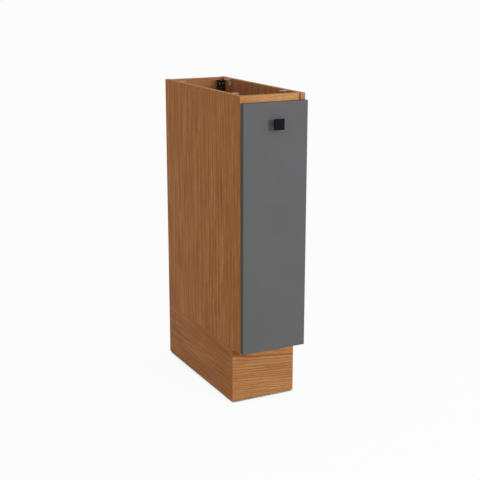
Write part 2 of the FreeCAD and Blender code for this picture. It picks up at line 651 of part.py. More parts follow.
def hangers():
    clamps, fixings = [], []
    for side, sign in SIDES:
        housing = f"hanger_housing_{side}"
        pieces[housing] = hanger_housing(side, sign)
        pieces[f"hanger_hook_{side}"] = hanger_hook(side, sign)
        for kind, step in (("height", "-"), ("clamp", "+")):
            spot = (f"{sign} * (hanger_x {step} hanger_screw_spacing / 2)", "hanger_seat_y",
                    "hanger_top_z - hanger_screw_drop")
            adjuster = screw(f"{kind} screw {side}", spot, "+y", "hanger_screw_head_radius",
                             "hanger_screw_head", "hanger_screw_radius", "hanger_screw_length",
                             (housing,), True)
            if kind == "height":
                pieces[f"hanger_height_screw_{side}"] = adjuster
            else:
                clamps.append(adjuster)
        fixings.append(screw(f"hanger screw {side}",
                             (f"{sign} * (inner_x - hanger_wall)", "(hanger_hollow_y + back_rail_y) / 2",
                              "hook_z - hook_shank / 2"), outward(sign),
                             "screw_head_radius", "screw_head", "screw_radius", "screw_length",
                             (housing, f"side_panel_{side}")))
    group("hanger_clamp_screws", clamps)
    return fixings


# Telescopic ball slides

def member(name, sign, corners, length, outer_bends, inner_bends):
    """A rolled steel member: a profile seen from the front, with its bends rounded on both faces."""
    body = doc.addObject("PartDesign::Body", name)
    sketch = outline(body, "XZ_Plane", [(f"{-sign} * ({inset})", up) for inset, up in corners])
    steel = pad(body, sketch, length, True)
    for bends, radius in ((outer_bends, "slide_bend_radius"),
                          (inner_bends, "slide_bend_radius - slide_sheet")):
        spots = [(-sign * inset, up * way) for inset, up in bends for way in (-1, 1)]
        steel = round_edges(body, steel, radius,
                            lambda box: not near(box.YLength, 0) and any(
                                near(box.XMin, x) and near(box.XMax, x) and near(box.ZMin, z)
                                for x, z in spots))
    return put(body, (f"{sign} * inner_x", "slide_y", "slide_z"))


def adjusting_slot(name, sign, near_x, y):
    """A slot with round ends through the web of a slide's member."""
    half = "slot_length / 2"
    web = across(sign, near_x, f"{near_x} + slide_sheet")
    middle = block(f"{name} middle", web, (f"{y} - {half}", f"{y} + {half}"),
                   ("slide_z - slot_width / 2", "slide_z + slot_width / 2"))
    ends = [rod(f"{name} end {step}", (web[0], f"{y} {step} {half}", "slide_z"), "+x", "slide_sheet",
                "slot_width / 2") for step in "-+"]
    return fuse(name, [middle] + ends)


def outer_member(side, sign):
    """The cabinet member: a channel whose edges are turned in to keep the balls."""
    inside = "outer_half - slide_sheet"
    tip = f"{inside} - slide_lip"
    lip = "slide_flange - slide_sheet"
    corners = (("0", "-outer_half"), ("slide_flange", "-outer_half"), ("slide_flange", f"-({tip})"),
               (lip, f"-({tip})"), (lip, f"-({inside})"), ("slide_sheet", f"-({inside})"),
               ("slide_sheet", inside), (lip, inside), (lip, tip), ("slide_flange", tip),
               ("slide_flange", "outer_half"), ("0", "outer_half"))
    half, thickness = value("outer_half"), value("slide_sheet")
    edges = (0, value("slide_flange"))
    return member(f"outer member {side}", sign, corners, "slide_length", [(edge, half) for edge in edges],
                  [(thickness, half - thickness), (edges[1] - thickness, half - thickness)])


def channel_member(name, sign, web, web_inside, tip, half):
    """A plain channel, its web and the tips of its flanges at distances from the side panel."""
    inside = f"{half} - slide_sheet"
    corners = ((web, f"-{half}"), (tip, f"-{half}"), (tip, f"-({inside})"),
               (web_inside, f"-({inside})"), (web_inside, inside), (tip, inside),
               (tip, half), (web, half))
    return member(name, sign, corners, "member_length", [(value(web), value(half))],
                  [(value(web_inside), value(half) - value("slide_sheet"))])


def ball_cage(name, sign, web, ball_inset, ball_z, ball_radius):
    """A thin channel with holes along both flanges, and a ball in each hole."""
    body = doc.addObject("PartDesign::Body", f"{name} strip")
    web_inside = f"{web} + cage_sheet"
    tip = f"{ball_inset} + {ball_radius} + cage_margin"
    over, under = f"{ball_z} + cage_sheet / 2", f"{ball_z} - cage_sheet / 2"
    corners = ((web, f"-({over})"), (tip, f"-({over})"), (tip, f"-({under})"),
               (web_inside, f"-({under})"), (web_inside, under), (tip, under), (tip, over), (web, over))
    sketch = outline(body, "XZ_Plane", [(f"{-sign} * ({inset})", up) for inset, up in corners])
    pad(body, sketch, "cage_length", True)
    put(body, (f"{sign} * inner_x", "cage_y", "slide_z"))
    balls, holes = [], []
    x = f"{sign} * (inner_x - {ball_inset})"
    for k in range(BALLS_IN_ROW):
        y = f"cage_y + ball_pitch * {k + 0.5}"
        holes.append(rod(f"{name} hole {k}", (x, y, "slide_z - outer_half"), "+z", "slide_height",
                         f"{ball_radius} + cage_hole_play"))
        for row, z in (("upper", f"slide_z + {ball_z}"), ("lower", f"slide_z - {ball_z}")):
            ball = doc.addObject("Part::Sphere", f"{name} ball {row} {k}")
            bind(ball, Radius=ball_radius)
            balls.append(put(ball, (x, y, z)))
    strip = doc.addObject("Part::Cut", f"{name} pierced strip")
    strip.Base = body
    strip.Tool = fuse(f"{name} holes", holes)
    group(name, [strip] + balls)


def end_buffer(side, sign):
    body = doc.addObject("PartDesign::Body", f"slide_buffer_{side}")
    half = "outer_half - slide_sheet"
    low, high = "slide_sheet", "slide_flange - slide_sheet"
    corners = ((low, f"-({half})"), (high, f"-({half})"), (high, half), (low, half))
    sketch = outline(body, "XZ_Plane", [(f"{-sign} * ({inset})", up) for inset, up in corners])
    rubber = pad(body, sketch, "buffer_length", True)
    rounded = round_edges(body, rubber, "slide_bend_radius - slide_sheet",
                          lambda box: not near(box.YLength, 0))
    round_edges(body, rounded, "buffer_edge_radius", lambda box: near(box.YMax, 0))
    return put(body, (f"{sign} * inner_x", "slide_y + slide_length - buffer_length", "slide_z"))


def release_lever(side, sign):
    """A tapered lever on a rivet, with a finger tab at its tip, and that rivet."""
    body = doc.addObject("PartDesign::Body", f"lever arm {side}")
    thick, thin = "lever_height / 2", "lever_tip / 2"
    end = "lever_length - lever_height / 2"
    arm = pad(body, outline(body, "YZ_Plane", (
        (f"-({thick})", f"-({thick})"), (thick, f"-({thick})"), (end, f"-({thin})"),
        (end, thin), (thick, thick), (f"-({thick})", thick))), "lever_thickness", sign < 0)
    low = -value("lever_height") / 2
    round_edges(body, arm, "lever_edge_radius",
                lambda box: near(box.YMin, low) and near(box.YMax, low) and not near(box.XLength, 0))
    tab_start = f"{end} - lever_tab_length"
    pad(body, outline(body, "YZ_Plane", (
        (tab_start, f"-({thin})"), (end, f"-({thin})"), (end, thin), (tab_start, thin))),
        "lever_thickness + lever_tab", sign < 0)
    put(body, (f"{sign} * (inner_x - inner_web_inset + lever_gap)", "lever_y", "slide_z"))
    seat = (f"{sign} * (inner_x - inner_web_inset)", "lever_y", "slide_z")
    reach = "lever_gap * 2 + lever_thickness"
    name = f"release_lever_{side}"
    drill(rod(f"{name} eye", seat, outward(sign), f"{reach} + lever_tab", "pivot_radius + pivot_play"), name)
    pieces[name] = body
    return rod(f"{name} rivet", seat, outward(sign), reach, "pivot_radius")


def slides():
    cabinet_screws, rack_screws = [], []
    for side, sign in SIDES:
        outer, rack = f"slide_outer_{side}", f"slide_inner_{side}"
        pieces[outer] = outer_member(side, sign)
        pieces[f"slide_middle_{side}"] = channel_member(
            f"slide_middle_{side}", sign, "middle_inset", "middle_web_inset",
            "inner_web_inset - slide_running_gap", "middle_half")
        steel = channel_member(f"rack member {side}", sign, "slide_thickness", "inner_web_inset",
                               "inner_flange_inset", "inner_half")
        pieces[rack] = fuse(f"{rack} with rivet", [steel, release_lever(side, sign)])
        pieces[f"slide_buffer_{side}"] = end_buffer(side, sign)
        ball_cage(f"outer_ball_cage_{side}", sign, "outer_cage_inset", "big_ball_inset",
                  "big_ball_z", "big_ball_radius")
        ball_cage(f"inner_ball_cage_{side}", sign, "inner_cage_inset", "small_ball_inset",
                  "small_ball_z", "small_ball_radius")
        for end, y in (("front", "slide_y + slide_screw_gap + slot_gap"),
                       ("rear", "slide_y + member_length - slide_screw_gap - slot_gap")):
            drill(adjusting_slot(f"{outer} {end} slot", sign, "inner_x - slide_sheet", y), outer)
            drill(adjusting_slot(f"{rack} {end} slot", sign, "rack_x", y), rack)
        for end, y in (("front", "slide_y + slide_screw_gap"), ("middle", "slide_y + member_length / 2"),
                       ("rear", "slide_y + member_length - slide_screw_gap")):
            cabinet_screws.append(screw(
                f"cabinet slide screw {side} {end}", (f"{sign} * (inner_x - slide_sheet)", y, "slide_z"),
                outward(sign), "screw_head_radius", "screw_head", "screw_radius", "screw_length",
                (outer, f"side_panel_{side}"), True))
            rack_screws.append(screw(
                f"rack slide screw {side} {end}", (f"{sign} * (inner_x - inner_web_inset)", y, "slide_z"),
                inward(sign), "screw_head_radius", "screw_head", "screw_radius", "screw_length",
                (rack, f"rack_side_{side}"), True))
    group("cabinet_slide_screws", cabinet_screws)
    group("rack_slide_screws", rack_screws)


# Rack behind the door front: two end boards, three shelves and their guard bars

def rack():
    ends_z = ("rack_low_z", "rack_high_z")
    between_y = ("rack_inner_front_y", "rack_inner_rear_y")
    rack_height = value("rack_high_z") - value("rack_low_z")
    for end, span_y in (("front", ("door_back_y", "rack_inner_front_y")),
                        ("rear", ("rack_inner_rear_y", "rack_rear_y"))):
        name = f"rack_{end}_board"
        pieces[name] = banded(name, ("-rack_x", "rack_x"), span_y, ends_z,
                              lambda box: near(box.ZMin, rack_height) and near(box.YLength, 0))
    for side, sign in SIDES:
        name = f"rack_side_{side}"
        pieces[name] = banded(name, across(sign, "rack_x - board", "rack_x"), between_y,
                              ("rack_low_z", "rack_low_z + rack_side_height"),
                              lambda box: near(box.ZMin, value("rack_side_height")) and near(box.XLength, 0))
    for step, level in enumerate(LEVELS):
        half = "rack_x" if step else "(rack_x - board)"
        under = f"rack_low_z + {step} * level_pitch"
        name = f"{level}_shelf"
        span_x, span_z = (f"-{half}", half), (under, f"{under} + board")
        if not step:
            pieces[name] = block(name, span_x, between_y, span_z)
        else:
            pieces[name] = banded(name, span_x, between_y, span_z,
                                  lambda box: near(box.XLength, 0) and near(box.ZLength, 0))
            for side, sign in SIDES:
                guard_bars(level, side, sign, f"{under} + board")


def guard_bars(level, side, sign, shelf_top):
    bars = []
    x = f"{sign} * (rack_x - guard_inset)"
    for rise in ("guard_low", "guard_high"):
        spot = (x, "rack_inner_front_y - guard_seat", f"{shelf_top} + {rise}")
        length = "rack_inner_rear_y - rack_inner_front_y + 2 * guard_seat"
        bars.append(rod(f"{level} {rise} bar {side}", spot, "+y", length, "guard_radius"))
        drill(rod(f"{level} {rise} bore {side}", spot, "+y", length, "guard_radius + fit_play"),
              "rack_front_board", "rack_rear_board")
    group(f"{level}_guard_bars_{side}", bars)


def rack_fasteners():
    long_screws, door_screws = [], []
    for end, seat_y, turn in (("front", "door_back_y", "+y"), ("rear", "rack_rear_y", "-y")):
        end_board = f"rack_{end}_board"
        spots = []
        for step, level in enumerate(LEVELS):
            z = f"rack_low_z + {step} * level_pitch + board / 2"
            spots += [(f"{level}_shelf", f"{sign} * (rack_x - rack_screw_inset)", z) for side, sign in SIDES]
        spots += [(f"rack_side_{side}", f"{sign} * (rack_x - board / 2)", "rack_low_z + rack_side_screw_rise")
                  for side, sign in SIDES]
        for number, (board_name, x, z) in enumerate(spots):
            long_screws.append(screw(f"rack screw {end} {number}", (x, seat_y, z), turn,
                                     "rack_screw_head_radius", "rack_screw_head", "rack_screw_radius",
                                     "rack_screw_length", (end_board, board_name), True))
    for step in (0, len(LEVELS) - 1):
        for side, sign in SIDES:
            spot = (f"{sign} * (rack_x - board - door_screw_inset)", "rack_inner_front_y",
                    f"rack_low_z + {step} * level_pitch + door_screw_rise")
            door_screws.append(screw(f"door screw {step} {side}", spot, "-y", "screw_head_radius",
                                     "screw_head", "door_screw_radius", "board + door_screw_bite",
                                     ("rack_front_board", "door_front")))
    group("rack_screws", long_screws)
    group("door_screws", door_screws)


# Door front with its knob and bumpers

def door_front():
    body = doc.addObject("PartDesign::Body", "door panel")
    face = pad(body, outline(body, "XZ_Plane", (
        ("-door_x", "door_low_z"), ("door_x", "door_low_z"),
        ("door_x", "door_high_z"), ("-door_x", "door_high_z"))), "door_thickness", True)
    round_edges(body, face, "door_edge_radius", lambda box: near(box.YMax, 0))
    pieces["door_front"] = put(body, ("0", "door_front_y", "0"))
    bumpers = []
    for side, sign in SIDES:
        for edge, z in (("lower", "door_low_z + bumper_end_gap"), ("upper", "door_high_z - bumper_end_gap")):
            spot = (f"{sign} * (outer_x - board / 2)", "door_back_y", z)
            bumpers.append(taper(f"bumper {side} {edge}", spot, "+y", "door_gap - bumper_play",
                                 "bumper_radius", "bumper_face_radius"))
    group("door_bumpers", bumpers)


def knob():
    """A square head on a neck that widens towards the door front, and its screw."""
    body = doc.addObject("PartDesign::Body", "knob casting")
    head = pad(body, outline(body, "XZ_Plane", square("knob_side / 2")), "knob_head", True)
    round_edges(body, head, "knob_edge_radius", lambda box: near(box.YMax, 0) or not near(box.YLength, 0))
    under = outline(body, "XZ_Plane", square("knob_neck / 2"))
    bind(under, **{"AttachmentOffset.Base.z": "-knob_head"})
    foot = outline(body, "XZ_Plane", square("knob_foot / 2"))
    bind(foot, **{"AttachmentOffset.Base.z": "-knob_projection"})
    neck = body.newObject("PartDesign::AdditiveLoft", "Neck")
    neck.Profile = under
    neck.Sections = [foot]
    doc.recompute()
    pieces["knob"] = put(body, ("0", "door_front_y - knob_projection", "knob_z"))
    seat = ("0", "door_back_y - counterbore_depth", "knob_z")
    drill(rod("knob counterbore", seat, "+y", "counterbore_depth",
              "knob_screw_head_radius + counterbore_play"), "door_front")
    pieces["knob_screw"] = screw("knob screw", seat, "-y", "knob_screw_head_radius", "knob_screw_head",
                                 "knob_thread_radius",
                                 "door_thickness - counterbore_depth + knob_thread_depth",
                                 ("door_front", "knob"))


def finish(name, thing):
    """Take the bores and slots out of a piece and give it its own name."""
    tools = cutters.get(name, [])
    thing.Label = f"{name} blank"
    if tools:
        whole = thing
        thing = doc.addObject("Part::Cut", name)
        thing.Base = whole
        thing.Tool = fuse(f"{name} cutters", tools) if len(tools) > 1 else tools[0]
    thing.Label = name
    return thing


carcass()
plinth()
hidden_joints()
group("wood_screws", brackets() + hangers())
slides()
rack()
rack_fasteners()
door_front()
knob()
parts = [finish(name, thing) for name, thing in pieces.items()]
doc.recompute()

failed = [thing.Label for thing in doc.Objects if {"Invalid", "Error"} & set(thing.State)]
failed += [part.Label for part in parts if part.Shape.isNull() or not part.Shape.isValid()]
if failed:
    raise RuntimeError(f"not built: {failed}")

os.makedirs("parts", exist_ok=True)
for part in parts:
    part.Shape.exportStep(f"parts/{part.Label}.step")
print(f"{len(parts)} sub-parts written")
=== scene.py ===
import math
import bmesh
import bpy
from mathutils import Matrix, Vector


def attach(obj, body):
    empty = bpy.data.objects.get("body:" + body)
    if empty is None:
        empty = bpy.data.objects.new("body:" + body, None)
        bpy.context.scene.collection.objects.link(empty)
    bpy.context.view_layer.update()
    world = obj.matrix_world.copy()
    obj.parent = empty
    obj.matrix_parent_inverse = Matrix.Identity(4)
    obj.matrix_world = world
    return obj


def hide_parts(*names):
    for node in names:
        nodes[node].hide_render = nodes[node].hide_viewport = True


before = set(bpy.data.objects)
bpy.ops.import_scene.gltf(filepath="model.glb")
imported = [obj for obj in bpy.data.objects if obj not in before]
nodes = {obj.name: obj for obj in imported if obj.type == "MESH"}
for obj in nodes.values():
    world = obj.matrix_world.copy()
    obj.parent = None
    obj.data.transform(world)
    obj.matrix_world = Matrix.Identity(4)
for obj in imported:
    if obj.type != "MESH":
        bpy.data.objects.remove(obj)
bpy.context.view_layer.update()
print("frame loaded:", len(nodes), "nodes")


# small helpers for node trees

def feed(tree, socket, value):  # a socket takes a link or a plain value
    if isinstance(value, bpy.types.NodeSocket):
        tree.links.new(value, socket)
    else:
        socket.default_value = value


def feedAll(tree, node, values):  # labels have _ for a space
    for label, value in values.items():
        feed(tree, node.inputs[label.replace("_", " ")], value)
    return node


def newNode(tree, kind, **values):
    return feedAll(tree, tree.nodes.new(kind), values)


def place(tree, group, **values):  # puts one of the shared effects in a material
    node = tree.nodes.new("ShaderNodeGroup")
    node.node_tree = group
    return feedAll(tree, node, values).outputs


def calc(tree, operation, *values):
    node = tree.nodes.new("ShaderNodeMath")
    node.operation = operation
    for socket, value in zip(node.inputs, values):
        feed(tree, socket, value)
    return node.outputs[0]


def vectorCalc(tree, operation, first, second):
    node = tree.nodes.new("ShaderNodeVectorMath")
    node.operation = operation
    feed(tree, node.inputs[0], first)
    feed(tree, node.inputs[1], second)
    return node.outputs


def parts(tree, vector):  # the x, y and z of a vector
    return newNode(tree, "ShaderNodeSeparateXYZ", Vector=vector).outputs


def triple(tree, x=0.0, y=0.0, z=0.0):
    return newNode(tree, "ShaderNodeCombineXYZ", X=x, Y=y, Z=z).outputs[0]


def remap(tree, value, low, high, toLow=0.0, toHigh=1.0, smooth=False):
    node = tree.nodes.new("ShaderNodeMapRange")
    node.interpolation_type = "SMOOTHSTEP" if smooth else "LINEAR"
    limits = {"Value": value, "From Min": low, "From Max": high, "To Min": toLow, "To Max": toHigh}
    return feedAll(tree, node, limits).outputs["Result"]


def swing(tree, value, depth):  # a noise's swing about its middle
    return calc(tree, "MULTIPLY", calc(tree, "SUBTRACT", value, 0.5), depth)


def tint(tree, amount, first, second, mode="MIX"):
    node = tree.nodes.new("ShaderNodeMix")
    node.data_type = "RGBA"
    node.blend_type = mode
    factorIn, firstIn, secondIn = node.inputs[0], node.inputs[6], node.inputs[7]  # the colour sockets
    for socket, value in ((factorIn, amount), (firstIn, first), (secondIn, second)):
        ready = isinstance(value, (float, bpy.types.NodeSocket))
        feed(tree, socket, value if ready else (*value, 1.0))
    return node.outputs[2]


def scaled(colour, amount):
    return tuple(amount * part for part in colour)


usualNoise = (0.3, 0.7)


def mottled(tree, pattern, colour, darkest, palest):  # a colour that wanders between two shares of itself
    amount = remap(tree, pattern, *usualNoise)
    return tint(tree, amount, scaled(colour, darkest), scaled(colour, palest))


def stretched(tree, vector, scales=(1.0, 1.0, 1.0), shift=(0.0, 0.0, 0.0), turn=(0.0, 0.0, 0.0)):
    node = newNode(tree, "ShaderNodeMapping", Vector=vector, Location=shift, Rotation=turn, Scale=scales)
    return node.outputs["Vector"]


def noise(tree, vector, scale=1.0, detail=2.0, roughness=0.5):
    node = newNode(tree, "ShaderNodeTexNoise", Vector=vector, Scale=scale, Detail=detail,
                   Roughness=roughness)
    return node.outputs["Fac"]


def drawnNoise(tree, vector, scales, detail=2.0, roughness=0.5):  # noise drawn out along an axis
    return noise(tree, stretched(tree, vector, scales), 1.0, detail, roughness)


def bump(tree, height, strength, distance, normal=None):
    node = newNode(tree, "ShaderNodeBump", Strength=strength, Distance=distance, Height=height)
    if normal is not None:
        feed(tree, node.inputs["Normal"], normal)
    return node.outputs["Normal"]


facings = {"up": ("Z", 1.0), "down": ("Z", -1.0), "rear": ("Y", 1.0), "front": ("Y", -1.0),
           "left": ("X", -1.0), "right": ("X", 1.0)}
squareOn = (0.85, 0.95)


def facing(tree, ways):  # 1 on the faces that look one of these ways
    where = tree.nodes.new("ShaderNodeTexCoord")
    normal = parts(tree, where.outputs["Normal"])
    found = 0.0
    for way in ways:
        axis, sign = facings[way]
        mask = remap(tree, calc(tree, "MULTIPLY", normal[axis], sign), *squareOn)
        found = calc(tree, "MAXIMUM", found, mask)
    return found


# materials and pieces

def newMaterial(name):
    material = bpy.data.materials.new(name)
    material.use_nodes = True
    tree = material.node_tree
    shader = tree.nodes["Principled BSDF"]
    spot = tree.nodes.new("ShaderNodeTexCoord").outputs["Object"]
    return material, tree, shader, spot


def setShader(tree, shader, colour, roughness, normal, gloss=0.5, metal=0.0):
    feedAll(tree, shader, {"Base Color": colour, "Roughness": roughness, "Normal": normal,
                           "Specular IOR Level": gloss, "Metallic": metal})


def dress(name, material):  # every slot of a CAD node gets the finish
    slots = nodes[name].material_slots
    for slot in slots:
        slot.material = material
    if not slots:
        nodes[name].data.materials.append(material)


def addPiece(name, data):
    piece = bpy.data.objects.new(name, data)
    bpy.context.scene.collection.objects.link(piece)
    return piece


# shared surface effects: each takes a place and some plain values

def newGroup(name, values, outputs):
    group = bpy.data.node_groups.new(name, "ShaderNodeTree")
    sockets = group.interface
    sockets.new_socket("Vector", in_out="INPUT", socket_type="NodeSocketVector")
    for label, default in values.items():
        socket = sockets.new_socket(label, in_out="INPUT", socket_type="NodeSocketFloat")
        socket.default_value = default
    for label in outputs:
        kind = "NodeSocketVector" if label == "Normal" else "NodeSocketFloat"
        sockets.new_socket(label, in_out="OUTPUT", socket_type=kind)
    return group, group.nodes.new("NodeGroupInput").outputs, group.nodes.new("NodeGroupOutput").inputs


plankLook = {
    "wanderScale": 6.0, "wanderRoughness": 0.45, "shake": (70.0, 70.0, 9.0), "shakeDepth": 0.004,
    "growthScale": 0.45, "growthShare": 1.8, "lateFrom": (0.35, 0.88), "lateTo": (0.92, 1.0),
    "faintYear": 0.3, "bands": (18.0, 18.0, 4.6), "streaks": (110.0, 110.0, 5.0),
    "fibres": (560.0, 560.0, 17.0), "dashes": (1500.0, 1500.0, 55.0), "poreRange": (0.58, 0.68),
}


def makePlankFigure():  # growth rings, streaks, fibres and pores; the grain runs along z
    look = plankLook
    group, given, result = newGroup(
        "plankFigure", {"Ring Pitch": 0.008, "Ring Warp": 0.03, "Warp Length": 1.0, "Taper": 0.0},
        ("Rings", "Bands", "Streaks", "Fibres", "Pores"))
    spot = given["Vector"]
    x, y, z = parts(group, spot)
    squares = calc(group, "ADD", calc(group, "MULTIPLY", x, x), calc(group, "MULTIPLY", y, y))
    slow = triple(group, calc(group, "MULTIPLY", x, look["wanderScale"]),
                  calc(group, "MULTIPLY", y, look["wanderScale"]),
                  calc(group, "DIVIDE", z, given["Warp Length"]))
    wander = noise(group, slow, roughness=look["wanderRoughness"])
    shaky = drawnNoise(group, spot, look["shake"])
    radius = calc(group, "MULTIPLY_ADD", wander, given["Ring Warp"], calc(group, "SQRT", squares))
    radius = calc(group, "MULTIPLY_ADD", shaky, look["shakeDepth"], radius)
    radius = calc(group, "MULTIPLY_ADD", z, given["Taper"], radius)
    count = calc(group, "DIVIDE", radius, given["Ring Pitch"])
    uneven = group.nodes.new("ShaderNodeTexNoise")  # years of quick and slow growth
    uneven.noise_dimensions = "1D"
    feedAll(group, uneven, {"W": count, "Scale": look["growthScale"]})
    count = calc(group, "MULTIPLY_ADD", uneven.outputs["Fac"], look["growthShare"], count)
    year = group.nodes.new("ShaderNodeTexWhiteNoise")
    year.noise_dimensions = "1D"
    feed(group, year.inputs["W"], calc(group, "FLOOR", count))
    phase = calc(group, "FRACT", count)
    late = calc(group, "MULTIPLY", remap(group, phase, *look["lateFrom"], smooth=True),
                remap(group, phase, *look["lateTo"], 1.0, 0.0, smooth=True))
    strength = remap(group, year.outputs["Value"], 0.0, 1.0, look["faintYear"], 1.0)
    feed(group, result["Rings"], calc(group, "MULTIPLY", late, strength))
    feed(group, result["Bands"], drawnNoise(group, spot, look["bands"]))
    feed(group, result["Streaks"], drawnNoise(group, spot, look["streaks"], detail=3.0, roughness=0.6))
    feed(group, result["Fibres"], drawnNoise(group, spot, look["fibres"], detail=2.0, roughness=0.6))
    dashes = drawnNoise(group, spot, look["dashes"], detail=1.0)
    feed(group, result["Pores"], remap(group, dashes, *look["poreRange"], smooth=True))
    return group


chipLook = {"size": 0.0016, "gapRange": (0.45, 0.85)}


def makeChipEdge():  # pressed wood chips, as on an edge without a band
    group, given, result = newGroup("chipEdge", {"Chip Size": chipLook["size"]}, ("Chips", "Gaps"))
    shrunk = vectorCalc(group, "DIVIDE", given["Vector"], given["Chip Size"])[0]
    cells = newNode(group, "ShaderNodeTexVoronoi", Vector=shrunk, Scale=1.0).outputs
    shade = newNode(group, "ShaderNodeSeparateColor", Color=cells["Color"]).outputs[0]
    feed(group, result["Chips"], shade)
    feed(group, result["Gaps"], remap(group, cells["Distance"], *chipLook["gapRange"], smooth=True))
    return group


rubLook = {"radius": 0.0007, "samples": 4, "ridge": (0.985, 0.86), "patch": (0.42, 0.62)}


def makeEdgeRub():  # a soft rounded normal along sharp edges, and where handling has rubbed them
    group, given, result = newGroup("edgeRub", {"Patchiness": 90.0}, ("Rub", "Normal"))
    soft = newNode(group, "ShaderNodeBevel", Radius=rubLook["radius"])
    soft.samples = rubLook["samples"]
    rounded = soft.outputs["Normal"]
    flat = group.nodes.new("ShaderNodeNewGeometry").outputs["True Normal"]
    likeness = vectorCalc(group, "DOT_PRODUCT", rounded, flat)["Value"]
    ridge = remap(group, likeness, *rubLook["ridge"])
    patches = noise(group, given["Vector"], given["Patchiness"], detail=3.0)
    patches = remap(group, patches, *rubLook["patch"])
    feed(group, result["Rub"], calc(group, "MULTIPLY", ridge, patches))
    feed(group, result["Normal"], rounded)
    return group


smearLook = {"smear": (14.0, 14.0, 9.0), "smearDepth": 1.6, "speck": 420.0, "speckDepth": 0.6}


def makeHandling():  # faint smears that vary how a surface shines
    group, given, result = newGroup("handling", {"Even": 0.45, "Spread": 0.08}, ("Roughness",))
    spot = given["Vector"]
    smear = drawnNoise(group, spot, smearLook["smear"], detail=4.0, roughness=0.6)
    speck = noise(group, spot, smearLook["speck"], detail=1.0)
    both = calc(group, "ADD", swing(group, smear, smearLook["smearDepth"]),
                swing(group, speck, smearLook["speckDepth"]))
    feed(group, result["Roughness"], calc(group, "MULTIPLY_ADD", both, given["Spread"], given["Even"]))
    return group


def makeMouldedSkin():  # the fine spark-eroded texture of moulded plastic and powder coat
    group, given, result = newGroup("mouldedSkin", {"Grain": 2600.0}, ("Height", "Mottle"))
    mottleScale = 160.0
    height = noise(group, given["Vector"], given["Grain"], detail=3.0, roughness=0.6)
    feed(group, result["Height"], height)
    feed(group, result["Mottle"], noise(group, given["Vector"], mottleScale, detail=3.0))
    return group


def makeRolledSteel():  # rolling lines along y and the flower of zinc plating
    group, given, result = newGroup("rolledSteel", {}, ("Lines", "Flower"))
    lineScales, flowerScale = (2400.0, 26.0, 2400.0), 210.0
    feed(group, result["Lines"], drawnNoise(group, given["Vector"], lineScales))
    flower = noise(group, given["Vector"], flowerScale, detail=4.0, roughness=0.65)
    feed(group, result["Flower"], flower)
    return group


plankFigure = makePlankFigure()
chipEdge = makeChipEdge()
edgeRub = makeEdgeRub()
handling = makeHandling()
mouldedSkin = makeMouldedSkin()
rolledSteel = makeRolledSteel()
print("surface effects made")


def smeared(tree, spot, even, spread):
    return place(tree, handling, Vector=spot, Even=even, Spread=spread)["Roughness"]


def rubbed(tree, rub, depth, colour, worn):  # the worn colour on rubbed edges
    return tint(tree, calc(tree, "MULTIPLY", rub["Rub"], depth), colour, worn)


# laminated boards: grain says which way it runs, pith where the growth rings have their middle;
# gain brightens the figure, and faces named raw, band or plain are bare, banded or not brightened

woodTones = {
    "light": (0.475, 0.210, 0.071), "middle": (0.378, 0.151, 0.047), "dark": (0.235, 0.080, 0.020),
    "pore": (0.105, 0.038, 0.014), "band": (0.505, 0.242, 0.096),
    "chipLight": (0.570, 0.290, 0.140), "chipDark": (0.340, 0.148, 0.061),
}
grainTurns = {"z": (0.0, 0.0, 0.0), "y": (math.pi / 2, 0.0, 0.0), "x": (0.0, -math.pi / 2, 0.0)}
boardLook = {
    "bandShare": 0.65, "streakShare": 0.35, "toneRange": (0.36, 0.62),
    "streakRange": (0.40, 0.70), "streakDepth": 0.55, "fibreRange": (0.38, 0.72), "fibreDepth": 0.4,
    "poreDepth": 0.5, "fibreHeight": 0.4, "rubDepth": 0.35, "even": 0.50, "spread": 0.12,
    "stripRange": (0.45, 0.7), "stripDepth": 0.5, "plainTone": 1.12, "gapDepth": 0.5, "rawRoughness": 0.85,
    "bumpStrength": 0.25, "bumpDepth": 0.0002, "gloss": 0.06,
}
plainBoard = {
    "grain": "z", "pith": (0.9, 0.35, 0.0), "pitch": 0.008, "warp": 0.05, "length": 1.4, "taper": 0.02,
    "rings": 0.6, "lines": 1.0, "gain": (1.0, 1.0, 1.0), "raw": (), "band": (), "plain": (),
}
